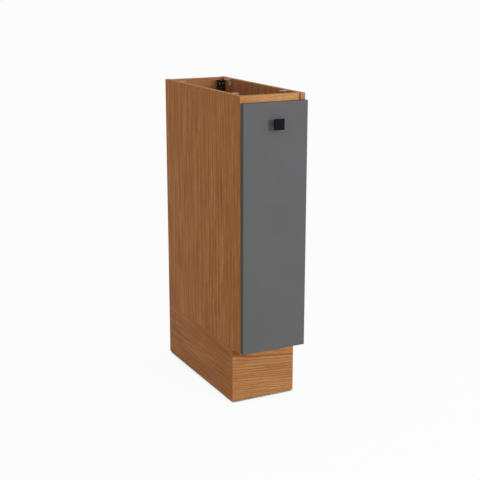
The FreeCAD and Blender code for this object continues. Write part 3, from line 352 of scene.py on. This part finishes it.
boards = {
    "side_panel_left": {
        "pith": (0.30, 0.95, 0.3), "lines": 2.4, "gain": (1.25, 1.26, 1.16),
        "raw": ("up", "down", "rear"), "band": ("front",)},
    # painted light: the gain makes the inner face paler and bluer than the outer face, which stays plain,
    # standing in for the light in the shaded inside
    "side_panel_right": {
        "pith": (-0.30, 0.87, 0.7), "lines": 2.4, "gain": (1.32, 1.42, 1.95),
        "raw": ("up", "down", "rear"), "band": ("front",), "plain": ("right",)},
    "front_top_rail": {
        "grain": "x", "pith": (1.30, 0.30, 0.2), "rings": 0.35, "gain": (1.71, 2.05, 2.47), "raw": ("up",)},
    # painted light: the gain makes the inner face paler and bluer than the rear face, which stays plain,
    # standing in for the light in the shaded inside
    "back_top_rail": {
        "grain": "x", "pith": (1.35, -0.20, 0.6), "gain": (1.25, 1.31, 1.78), "raw": ("up",),
        "plain": ("rear",)},
    "bottom_panel": {"grain": "y", "pith": (0.25, 0.33, 0.4), "raw": ("down",), "band": ("front",)},
    "plinth_front": {
        "grain": "x", "pith": (0.150, 0.222, 0.45), "pitch": 0.0066, "warp": 0.010, "length": 0.16,
        "taper": -0.08, "rings": 1.2, "gain": (1.36, 1.58, 1.92), "raw": ("down",),
        "plain": ("left", "right")},
    "plinth_back": {
        "grain": "x", "pith": (0.1, -0.31, 0.9), "length": 0.3, "taper": 0.12, "raw": ("down",)},
    "plinth_side_left": {
        "grain": "y", "pith": (0.16, -0.335, 0.35), "pitch": 0.0060, "warp": 0.04, "length": 0.4,
        "taper": -0.05, "rings": 1.5, "lines": 1.6, "gain": (1.18, 1.17, 1.12), "raw": ("down", "rear")},
    "plinth_side_right": {
        "grain": "y", "pith": (-0.15, -0.31, 0.55), "pitch": 0.0065, "length": 0.4, "rings": 0.9,
        "lines": 1.6, "gain": (1.11, 1.09, 1.04), "raw": ("down", "rear")},
    "rack_front_board": {"pith": (0.1, 0.5, 0.1)},
    "rack_rear_board": {"pith": (0.06, -0.45, 0.8), "warp": 0.07},
    "rack_side_left": {"grain": "y", "pith": (0.3, 0.02, 0.2)},
    "rack_side_right": {"grain": "y", "pith": (-0.3, 0.04, 0.5)},
    "bottom_shelf": {"grain": "y", "pith": (0.02, 0.42, 0.9), "warp": 0.06},
    "middle_shelf": {"grain": "y", "pith": (0.05, 0.77, 0.35), "warp": 0.06},
    "top_shelf": {"grain": "y", "pith": (-0.04, 0.96, 0.6), "warp": 0.06},
}


def boardFinish(name, board):
    look = boardLook
    material, tree, shader, spot = newMaterial(name + "Laminate")
    along = stretched(tree, spot, shift=board["pith"], turn=grainTurns[board["grain"]])
    figure = place(tree, plankFigure, Vector=along, Ring_Pitch=board["pitch"], Ring_Warp=board["warp"],
                   Warp_Length=board["length"], Taper=board["taper"])
    streaks, fibres, pores = figure["Streaks"], figure["Fibres"], figure["Pores"]
    lit = {tone: tuple(min(1.0, part * gain) for part, gain in zip(colour, board["gain"]))
           for tone, colour in woodTones.items()}
    broad = calc(tree, "MULTIPLY_ADD", figure["Bands"], look["bandShare"],
                 calc(tree, "MULTIPLY", streaks, look["streakShare"]))
    colour = tint(tree, remap(tree, broad, *look["toneRange"]), lit["middle"], lit["light"])
    thin = remap(tree, streaks, *look["streakRange"], 0.0, look["streakDepth"] * board["lines"])
    colour = tint(tree, thin, colour, lit["dark"])
    colour = tint(tree, calc(tree, "MULTIPLY", figure["Rings"], board["rings"]), colour, lit["dark"])
    fine = remap(tree, fibres, *look["fibreRange"], 0.0, look["fibreDepth"] * board["lines"])
    colour = tint(tree, fine, colour, lit["dark"])
    colour = tint(tree, calc(tree, "MULTIPLY", pores, look["poreDepth"]), colour, lit["pore"])
    height = calc(tree, "SUBTRACT", calc(tree, "MULTIPLY", fibres, look["fibreHeight"]), pores)
    rub = place(tree, edgeRub, Vector=spot)
    colour = rubbed(tree, rub, look["rubDepth"], colour, lit["chipLight"])
    shine = smeared(tree, spot, look["even"], look["spread"])
    if board["band"]:
        amount = remap(tree, streaks, *look["stripRange"], 0.0, look["stripDepth"])
        strip = tint(tree, amount, woodTones["band"], lit["middle"])
        colour = tint(tree, facing(tree, board["band"]), colour, strip)
    if board["plain"]:
        undone = tuple(look["plainTone"] / gain for gain in board["gain"])
        colour = tint(tree, facing(tree, board["plain"]), colour, undone, "MULTIPLY")
    if board["raw"]:
        chips = place(tree, chipEdge, Vector=spot)
        core = tint(tree, chips["Chips"], woodTones["chipDark"], woodTones["chipLight"])
        gaps = calc(tree, "MULTIPLY", chips["Gaps"], look["gapDepth"])
        core = tint(tree, gaps, core, woodTones["chipDark"])
        mask = facing(tree, board["raw"])
        colour = tint(tree, mask, colour, core)
        shine = calc(tree, "MAXIMUM", shine, calc(tree, "MULTIPLY", mask, look["rawRoughness"]))
    normal = bump(tree, height, look["bumpStrength"], look["bumpDepth"], rub["Normal"])
    setShader(tree, shader, colour, shine, normal, look["gloss"])
    return material


for boardName, own in boards.items():
    dress(boardName, boardFinish(boardName, plainBoard | own))
print("laminated boards dressed:", len(boards))


# thin back panel: printed on the inside, bare pressed fibre with a screen mark on the wall side

backSheet = {
    "print": (0.420, 0.195, 0.088), "bare": (0.235, 0.125, 0.062), "shift": (0.2, 0.6, 0.4),
    "streakRange": (0.2, 0.8), "fibreRange": (0.35, 0.75), "fibreDepth": 0.4, "clump": 240.0,
    "bareDarkest": 0.72, "barePalest": 1.2, "mesh": 620.0, "printRoughness": 0.5, "bareRoughness": 0.88,
    "bumpStrength": 0.3, "bumpDepth": 0.0003, "gloss": 0.06,
}


def hardboardFinish():
    look = backSheet
    material, tree, shader, spot = newMaterial("hardboardSheet")
    figure = place(tree, plankFigure, Vector=stretched(tree, spot, shift=look["shift"]))
    streaks = remap(tree, figure["Streaks"], *look["streakRange"])
    fibres = remap(tree, figure["Fibres"], *look["fibreRange"], 0.0, look["fibreDepth"])
    printed = tint(tree, streaks, look["print"], woodTones["middle"])
    printed = tint(tree, fibres, printed, woodTones["dark"])
    clumps = noise(tree, spot, look["clump"], detail=5.0, roughness=0.7)
    bare = mottled(tree, clumps, look["bare"], look["bareDarkest"], look["barePalest"])
    rear = facing(tree, ("rear",))
    across = parts(tree, spot)
    waves = []
    for axis in ("X", "Z"):  # the screen's two sets of wires
        wave = calc(tree, "SINE", calc(tree, "MULTIPLY", across[axis], look["mesh"] * 2 * math.pi))
        waves.append(calc(tree, "ABSOLUTE", wave))
    screen = calc(tree, "MULTIPLY", calc(tree, "MULTIPLY", *waves), rear)
    normal = bump(tree, calc(tree, "ADD", screen, clumps), look["bumpStrength"], look["bumpDepth"])
    roughness = remap(tree, rear, 0.0, 1.0, look["printRoughness"], look["bareRoughness"])
    setShader(tree, shader, tint(tree, rear, printed, bare), roughness, normal, look["gloss"])
    return material


dress("back_panel", hardboardFinish())


# grey door front: a satin laminate with a very fine leather-like press

doorLook = {
    "grey": (0.128, 0.129, 0.132), "edge": (0.074, 0.073, 0.078), "rubbed": (0.190, 0.190, 0.192),
    "cloud": 9.0, "darkest": 0.965, "palest": 1.035, "fleck": 900.0, "fleckRange": (0.62, 0.72),
    "fleckDepth": 0.12, "fleckTone": 0.55, "rubDepth": 0.3, "satin": 0.42, "spread": 0.12,
    "press": 1500.0, "bumpStrength": 0.10, "bumpDepth": 0.0002, "gloss": 0.04,
}


def doorFinish():
    look = doorLook
    material, tree, shader, spot = newMaterial("greyDoorLaminate")
    cloud = noise(tree, spot, look["cloud"], detail=4.0, roughness=0.6)
    grey = mottled(tree, cloud, look["grey"], look["darkest"], look["palest"])
    flecks = noise(tree, spot, look["fleck"], detail=2.0)
    flecks = remap(tree, flecks, *look["fleckRange"], 0.0, look["fleckDepth"])
    grey = tint(tree, flecks, grey, scaled(look["grey"], look["fleckTone"]))
    # partly a darker edge band and partly painted shade: the door's edge faces are painted darker for the
    # shadow of the gap beside them
    grey = tint(tree, facing(tree, ("left", "right", "up", "down")), grey, look["edge"])
    rub = place(tree, edgeRub, Vector=spot)
    grey = rubbed(tree, rub, look["rubDepth"], grey, look["rubbed"])
    pressed = noise(tree, spot, look["press"], detail=2.0, roughness=0.55)
    normal = bump(tree, pressed, look["bumpStrength"], look["bumpDepth"], rub["Normal"])
    shine = smeared(tree, spot, look["satin"], look["spread"])
    setShader(tree, shader, grey, shine, normal, look["gloss"])
    return material


dress("door_front", doorFinish())


# moulded plastics, and the powder-coated knob

skinLook = {"darkest": 0.88, "palest": 1.12, "patchiness": 260.0, "rubDepth": 0.5, "spread": 0.10,
            "bumpStrength": 0.2, "bumpDepth": 0.0001}
skins = {
    "blackPlastic": {
        "tone": (0.014, 0.012, 0.011), "rub": (0.05, 0.047, 0.044), "shine": 0.48, "gloss": 0.3,
        "grain": 2200.0,
        "nodes": ("slide_buffer_left", "slide_buffer_right", "release_lever_left", "release_lever_right")},
    "hangerPlastic": {
        "tone": (0.020, 0.014, 0.009), "rub": (0.055, 0.046, 0.040), "shine": 0.48, "gloss": 0.3,
        "grain": 2200.0, "nodes": ("hanger_housing_left", "hanger_housing_right")},
    "glidePlastic": {
        "tone": (0.010, 0.009, 0.009), "rub": (0.03, 0.028, 0.026), "shine": 0.6, "gloss": 0.08,
        "grain": 1600.0, "nodes": ("floor_glides",)},
    "tanPlastic": {
        "tone": (0.460, 0.235, 0.122), "rub": (0.60, 0.36, 0.22), "shine": 0.42, "gloss": 0.12,
        # painted light: a paler colour for the upright legs, standing in for light falling on them
        "grain": 1800.0, "paintedLitSides": (0.88, 0.54, 0.38),
        "nodes": ("worktop_bracket_front_left", "worktop_bracket_front_right",
                  "worktop_bracket_rear_left", "worktop_bracket_rear_right", "plinth_brackets")},
    "knobCoat": {
        "tone": (0.0045, 0.0043, 0.0080), "rub": (0.030, 0.030, 0.036), "shine": 0.40, "gloss": 0.06,
        "grain": 3200.0, "nodes": ("knob",)},
    "softBumper": {
        "tone": (0.62, 0.62, 0.60), "rub": (0.7, 0.7, 0.68), "shine": 0.3, "gloss": 0.4,
        "grain": 900.0, "nodes": ("door_bumpers",)},
}


def skinFinish(name, skin):
    look = skinLook
    material, tree, shader, spot = newMaterial(name)
    texture = place(tree, mouldedSkin, Vector=spot, Grain=skin["grain"])
    tone = mottled(tree, texture["Mottle"], skin["tone"], look["darkest"], look["palest"])
    if "paintedLitSides" in skin:  # painted light: the upright legs are painted paler than the flat ones, as if lit
        tone = tint(tree, facing(tree, ("left", "right")), tone, skin["paintedLitSides"])
    rub = place(tree, edgeRub, Vector=spot, Patchiness=look["patchiness"])
    tone = rubbed(tree, rub, look["rubDepth"], tone, skin["rub"])
    normal = bump(tree, texture["Height"], look["bumpStrength"], look["bumpDepth"], rub["Normal"])
    shine = smeared(tree, spot, skin["shine"], look["spread"])
    setShader(tree, shader, tone, shine, normal, skin["gloss"])
    return material


for skinName, skin in skins.items():
    coat = skinFinish(skinName, skin)
    for nodeName in skin["nodes"]:
        dress(nodeName, coat)


# plated steel and chrome; the screws further down take their coats from here

steelLook = {"patchiness": 200.0, "flowerRange": (0.35, 0.68), "spread": 0.35, "lineDepth": 0.4,
             "bumpStrength": 0.06, "bumpDepth": 0.00005}
steels = {
    "zincPlate": {
        "tone": (0.56, 0.57, 0.58), "dull": (0.40, 0.40, 0.41), "shine": 0.34,
        "nodes": ("slide_outer_left", "slide_outer_right", "slide_middle_left", "slide_middle_right",
                  "slide_inner_left", "slide_inner_right", "hanger_hook_left", "hanger_hook_right",
                  "outer_ball_cage_left", "outer_ball_cage_right", "inner_ball_cage_left",
                  "inner_ball_cage_right", "cam_locks", "cam_bolts")},
    "yellowZinc": {"tone": (0.70, 0.52, 0.27), "dull": (0.56, 0.38, 0.17), "shine": 0.32, "nodes": ()},
    "chromeBar": {
        "tone": (0.74, 0.75, 0.76), "dull": (0.62, 0.63, 0.64), "shine": 0.09,
        "nodes": ("middle_guard_bars_left", "middle_guard_bars_right", "top_guard_bars_left",
                  "top_guard_bars_right")},
}


def steelFinish(name, steel):
    look = steelLook
    material, tree, shader, spot = newMaterial(name)
    rolled = place(tree, rolledSteel, Vector=spot)
    rub = place(tree, edgeRub, Vector=spot, Patchiness=look["patchiness"])
    flower = remap(tree, rolled["Flower"], *look["flowerRange"])
    colour = tint(tree, flower, steel["dull"], steel["tone"])
    smears = smeared(tree, spot, steel["shine"], steel["shine"] * look["spread"])
    lines = swing(tree, rolled["Lines"], steel["shine"] * look["lineDepth"])
    normal = bump(tree, rolled["Lines"], look["bumpStrength"], look["bumpDepth"], rub["Normal"])
    setShader(tree, shader, colour, calc(tree, "ADD", smears, lines), normal, metal=1.0)
    return material


steelCoats = {}
for steelName, steel in steels.items():
    steelCoats[steelName] = steelFinish(steelName, steel)
    for nodeName in steel["nodes"]:
        dress(nodeName, steelCoats[steelName])


# beech dowels

dowelLook = {"pale": (0.60, 0.42, 0.26), "ray": (0.44, 0.28, 0.15), "rays": (120.0, 900.0, 900.0),
             "rayRange": (0.4, 0.7), "even": 0.62, "spread": 0.1, "bumpStrength": 0.3, "bumpDepth": 0.0002}


def dowelFinish():
    look = dowelLook
    material, tree, shader, spot = newMaterial("beechDowel")
    rays = drawnNoise(tree, spot, look["rays"], detail=3.0)
    colour = tint(tree, remap(tree, rays, *look["rayRange"]), look["pale"], look["ray"])
    normal = bump(tree, rays, look["bumpStrength"], look["bumpDepth"])
    setShader(tree, shader, colour, smeared(tree, spot, look["even"], look["spread"]), normal)
    return material


dress("wooden_dowels", dowelFinish())
print("plastics, steel and dowels dressed")


# screws with a cross recess and a thread, one tree for all of them; a raised head stands on its seat

screwLook = {
    "weld": 1e-6, "rimShare": 0.9, "headSides": 28, "coreSides": 14, "threadSteps": 14, "ridgeSides": 3,
    "core": 0.86, "tip": 0.14, "thread": 0.82, "threadEnd": 0.94, "threadStart": 0.9, "raisedTop": 0.8,
    "recessReach": 1.15, "recessWidth": 0.3, "recessDepth": 0.62, "coreRadius": 0.76, "threadRadius": 0.98,
}
plainScrew = {"body": "carcass", "coat": "yellowZinc", "raised": False, "head": 0.002, "pitch": 0.0014}
hangerScrew = {"coat": "zincPlate", "head": 0.0012, "pitch": 0.0010}
screwKinds = {
    "wood_screws": {"raised": True},
    "hanger_clamp_screws": hangerScrew,
    "hanger_height_screw_left": hangerScrew | {"body": "hanger_height_screw_left"},
    "hanger_height_screw_right": hangerScrew | {"body": "hanger_height_screw_right"},
    "cabinet_slide_screws": {},
    "rack_slide_screws": {"body": "pull_out"},
    "rack_screws": {"body": "pull_out", "head": 0.003, "pitch": 0.0022},
    "door_screws": {"body": "pull_out", "raised": True, "pitch": 0.0016},
    "knob_screw": {
        "body": "pull_out", "coat": "zincPlate", "raised": True, "head": 0.0026, "pitch": 0.0007},
}


def solidsOf(name):  # the separate solids of a CAD node, each as a list of its points
    work = bmesh.new()
    work.from_mesh(nodes[name].data)
    bmesh.ops.remove_doubles(work, verts=work.verts, dist=screwLook["weld"])
    left, solids = set(work.verts), []
    while left:
        reach, found = [left.pop()], []
        while reach:
            vertex = reach.pop()
            found.append(vertex.co.copy())
            for edge in vertex.link_edges:
                other = edge.other_vert(vertex)
                if other in left:
                    left.remove(other)
                    reach.append(other)
        solids.append(found)
    work.free()
    return solids


def readScrew(points, kind):  # seat, direction of the head, radii and length, all from the CAD solid
    low = Vector([min(point[axis] for point in points) for axis in range(3)])
    high = Vector([max(point[axis] for point in points) for axis in range(3)])
    along = max(range(3), key=lambda number: (high - low)[number])
    middle = (low + high) / 2
    across = [axis for axis in range(3) if axis != along]
    radii = [(point[along], Vector([point[axis] - middle[axis] for axis in across]).length)
             for point in points]
    headRadius = max(radius for spot, radius in radii)
    rim = [spot for spot, radius in radii if radius > screwLook["rimShare"] * headRadius]
    sign = 1.0 if sum(rim) / len(rim) > middle[along] else -1.0
    shankRadius = max(radius for spot, radius in radii if (spot - middle[along]) * sign < 0)
    out = Vector([sign if axis == along else 0.0 for axis in range(3)])
    reach = (high - low)[along]
    above = kind["head"] if kind["raised"] else 0.0
    return {"seat": middle + out * (reach / 2 - above), "out": out, "headRadius": headRadius,
            "shankRadius": shankRadius, "length": reach - above}


def makeScrewTree():
    look = screwLook
    tree = bpy.data.node_groups.new("crossScrews", "GeometryNodeTree")
    tree.interface.new_socket("Geometry", in_out="INPUT", socket_type="NodeSocketGeometry")
    for label in ("Head Low Radius", "Head High Radius", "Head Low", "Head Height", "Recess Reach",
                  "Recess Width", "Recess Depth", "Core Radius", "Thread Radius", "Thread Turns", "Length"):
        tree.interface.new_socket(label, in_out="INPUT", socket_type="NodeSocketFloat")
    tree.interface.new_socket("Finish", in_out="INPUT", socket_type="NodeSocketMaterial")
    tree.interface.new_socket("Geometry", in_out="OUTPUT", socket_type="NodeSocketGeometry")
    given = tree.nodes.new("NodeGroupInput").outputs
    result = tree.nodes.new("NodeGroupOutput").inputs
    length, coreRadius = given["Length"], given["Core Radius"]

    def shareOf(value, share):
        return calc(tree, "MULTIPLY", value, share)

    def moved(geometry, z):
        lift = triple(tree, z=z)
        return newNode(tree, "GeometryNodeTransform", Geometry=geometry, Translation=lift).outputs[0]

    head = newNode(tree, "GeometryNodeMeshCone", Vertices=look["headSides"],
                   Radius_Top=given["Head High Radius"], Radius_Bottom=given["Head Low Radius"],
                   Depth=given["Head Height"])
    head = moved(head.outputs["Mesh"], given["Head Low"])
    top = calc(tree, "ADD", given["Head Low"], given["Head Height"])
    wide, narrow = given["Recess Reach"], given["Recess Width"]
    deep = shareOf(given["Recess Depth"], 2.0)  # half of each arm stands above the head
    cut = tree.nodes.new("GeometryNodeMeshBoolean")
    cut.operation = "DIFFERENCE"
    cut.solver = "EXACT"
    feed(tree, cut.inputs["Mesh 1"], head)
    for size in ((wide, narrow, deep), (narrow, wide, deep)):
        arm = newNode(tree, "GeometryNodeMeshCube", Size=triple(tree, *size)).outputs["Mesh"]
        tree.links.new(moved(arm, top), cut.inputs["Mesh 2"])
    coreLength = shareOf(length, look["core"])
    core = newNode(tree, "GeometryNodeMeshCylinder", Vertices=look["coreSides"], Radius=coreRadius,
                   Depth=coreLength)
    core = moved(core.outputs["Mesh"], shareOf(coreLength, -0.5))
    tip = newNode(tree, "GeometryNodeMeshCone", Vertices=look["coreSides"], Radius_Top=coreRadius,
                  Radius_Bottom=0.0, Depth=shareOf(length, look["tip"]))
    tip = moved(tip.outputs["Mesh"], shareOf(length, -1.0))
    spiral = newNode(tree, "GeometryNodeCurveSpiral", Resolution=look["threadSteps"],
                     Rotations=given["Thread Turns"], Start_Radius=shareOf(coreRadius, look["threadStart"]),
                     End_Radius=coreRadius, Height=shareOf(length, look["thread"]))
    ridge = newNode(tree, "GeometryNodeCurvePrimitiveCircle", Resolution=look["ridgeSides"],
                    Radius=calc(tree, "SUBTRACT", given["Thread Radius"], coreRadius))
    thread = newNode(tree, "GeometryNodeCurveToMesh", Curve=spiral.outputs[0],
                     Profile_Curve=ridge.outputs[0], Fill_Caps=True)
    thread = moved(thread.outputs[0], shareOf(length, -look["threadEnd"]))
    whole = tree.nodes.new("GeometryNodeJoinGeometry")
    for piece in (cut.outputs["Mesh"], core, tip, thread):
        tree.links.new(piece, whole.inputs[0])
    out = newNode(tree, "GeometryNodeInputNamedAttribute", Name="out")
    out.data_type = "FLOAT_VECTOR"
    turn = newNode(tree, "FunctionNodeAlignRotationToVector", Vector=out.outputs["Attribute"])
    turn.axis = "Z"
    spread = newNode(tree, "GeometryNodeInstanceOnPoints", Points=given["Geometry"],
                     Instance=whole.outputs[0], Rotation=turn.outputs[0])
    real = newNode(tree, "GeometryNodeRealizeInstances", Geometry=spread.outputs[0])
    coated = newNode(tree, "GeometryNodeSetMaterial", Geometry=real.outputs[0], Material=given["Finish"])
    feed(tree, result["Geometry"], coated.outputs[0])
    return tree


def settle(piece):  # the modifiers' result becomes the piece's own mesh
    graph = bpy.context.evaluated_depsgraph_get()
    mesh = bpy.data.meshes.new_from_object(piece.evaluated_get(graph))
    piece.modifiers.clear()
    piece.data = mesh


screwTree = makeScrewTree()
screwSockets = {item.name: item.identifier for item in screwTree.interface.items_tree
                if item.item_type == "SOCKET" and item.in_out == "INPUT"}


def makeScrews(name, kind):
    look = screwLook
    found = [readScrew(points, kind) for points in solidsOf(name)]
    mesh = bpy.data.meshes.new(name + "Seats")
    mesh.from_pydata([screw["seat"] for screw in found], [], [])
    outs = mesh.attributes.new("out", "FLOAT_VECTOR", "POINT")
    for entry, screw in zip(outs.data, found):
        entry.vector = screw["out"]
    piece = addPiece(name + "Detailed", mesh)
    modifier = piece.modifiers.new("crossScrews", "NODES")
    modifier.node_group = screwTree
    head, shank, length = found[0]["headRadius"], found[0]["shankRadius"], found[0]["length"]
    raised = kind["raised"]
    sizes = {
        "Head Low Radius": head if raised else shank,
        "Head High Radius": head * look["raisedTop"] if raised else head,
        "Head Low": 0.0 if raised else -kind["head"],
        "Head Height": kind["head"],
        "Recess Reach": head * look["recessReach"],
        "Recess Width": head * look["recessWidth"],
        "Recess Depth": kind["head"] * look["recessDepth"],
        "Core Radius": shank * look["coreRadius"],
        "Thread Radius": shank * look["threadRadius"],
        "Thread Turns": look["thread"] * length / kind["pitch"],
        "Length": length,
    }
    for label, value in sizes.items():
        modifier[screwSockets[label]] = value
    modifier[screwSockets["Finish"]] = steelCoats[kind["coat"]]
    settle(piece)
    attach(piece, kind["body"])
    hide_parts(name)
    return len(found)


print("screws made:", sum(makeScrews(name, plainScrew | own) for name, own in screwKinds.items()))


# stage: pale floor, soft studio light, camera at the photograph's place

stageLook = {
    "floorSize": 240.0, "floorTone": (0.82, 0.82, 0.82), "white": 0.93,
    "contact": 0.03, "contactRange": (0.25, 0.6), "contactSamples": 8, "sky": 0.70, "backdrop": 0.98,
    "keyAim": (0.0, -0.25, 0.6), "keyFrom": (1.6, -3.95, 1.7), "keySize": 0.55, "keyPower": 63.5,
}


def seenDirectly(tree):  # 1 for the camera and for what shiny surfaces mirror
    path = tree.nodes.new("ShaderNodeLightPath").outputs
    mirrored = calc(tree, "MAXIMUM", path["Is Glossy Ray"], path["Is Transmission Ray"])
    return calc(tree, "MAXIMUM", path["Is Camera Ray"], mirrored)


def makeFloor():
    look = stageLook
    reach = look["floorSize"] / 2
    corners = [(-reach, -reach, 0), (reach, -reach, 0), (reach, reach, 0), (-reach, reach, 0)]
    mesh = bpy.data.meshes.new("floor")
    mesh.from_pydata(corners, [], [(0, 1, 2, 3)])
    material, tree, shader = newMaterial("paleFloor")[:3]
    tree.nodes.remove(shader)
    paper = newNode(tree, "ShaderNodeBsdfDiffuse", Color=(*look["floorTone"], 1.0))
    glow = tree.nodes.new("ShaderNodeEmission")
    # painted contact shade: ambient occlusion takes the white glow away near the object and in the slit
    # below it, so the floor shows darker there
    near = newNode(tree, "ShaderNodeAmbientOcclusion", Distance=look["contact"])
    near.samples = look["contactSamples"]
    bare = remap(tree, near.outputs["AO"], *look["contactRange"], smooth=True)  # not in the slit below
    white = calc(tree, "MULTIPLY", calc(tree, "MULTIPLY", seenDirectly(tree), bare), look["white"])
    share = tree.nodes.new("ShaderNodeMixShader")
    for socket, value in zip(share.inputs, (white, paper.outputs[0], glow.outputs[0])):
        feed(tree, socket, value)
    feed(tree, tree.nodes["Material Output"].inputs["Surface"], share.outputs[0])
    mesh.materials.append(material)
    floor = addPiece("floor", mesh)


def makeWorld():
    world = bpy.data.worlds.new("studio")
    bpy.context.scene.world = world
    world.use_nodes = True
    tree = world.node_tree
    strength = remap(tree, seenDirectly(tree), 0.0, 1.0, stageLook["sky"], stageLook["backdrop"])
    feedAll(tree, tree.nodes["Background"], {"Color": (1.0, 1.0, 1.0, 1.0), "Strength": strength})


def makeKey():
    lamp = bpy.data.lights.new("key", "AREA")
    lamp.size = stageLook["keySize"]
    lamp.energy = stageLook["keyPower"]
    holder = addPiece("key", lamp)
    holder.location = stageLook["keyFrom"]
    aim = Vector(stageLook["keyAim"]) - holder.location
    holder.rotation_euler = aim.to_track_quat("-Z", "Y").to_euler()


cameraLook = {"place": (-1.31121, -2.64486, 1.20757), "yaw": 26.697, "pitch": 14.698,
              "lens": 76.362, "film": 36.0}


def makeCamera():
    camera = bpy.data.cameras.new("photoView")
    camera.sensor_width = cameraLook["film"]
    camera.lens = cameraLook["lens"]
    holder = addPiece("photoView", camera)
    holder.location = cameraLook["place"]
    tilt = math.radians(90.0 - cameraLook["pitch"])
    holder.rotation_euler = (tilt, 0.0, -math.radians(cameraLook["yaw"]))
    bpy.context.scene.camera = holder


makeFloor()
makeWorld()
makeKey()
makeCamera()
bpy.context.scene.view_settings.view_transform = "Standard"
print("stage set")
